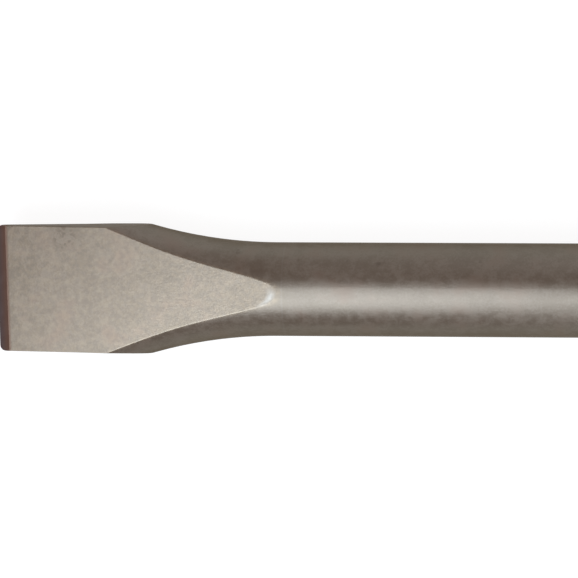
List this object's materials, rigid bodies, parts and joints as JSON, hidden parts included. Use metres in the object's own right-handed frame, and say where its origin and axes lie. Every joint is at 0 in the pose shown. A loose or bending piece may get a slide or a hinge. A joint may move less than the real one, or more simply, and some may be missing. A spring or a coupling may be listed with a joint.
{
  "type": "sds chisel",
  "caption": "Flat chisel for a rotary hammer, forged in one piece: a flared wedge head on a round bar with a slotted drive shank.",
  "frame": {"origin": "middle of the striking face, on the bar's axis, at the rear end of the shank", "axes": "+X along the bar, out of the striking face and away from the cutting edge; +Y across the blade's width; +Z square to the blade, upwards as the chisel lies on its bar"},
  "size_m": [0.28, 0.0248, 0.018],
  "materials": {
    "steel": "grit-blasted forged steel, warm grey and half matt, darker and reddish on the ground cutting bevel"
  },
  "bodies": {
    "root": {"chisel": "steel"}
  },
  "joints": []
}
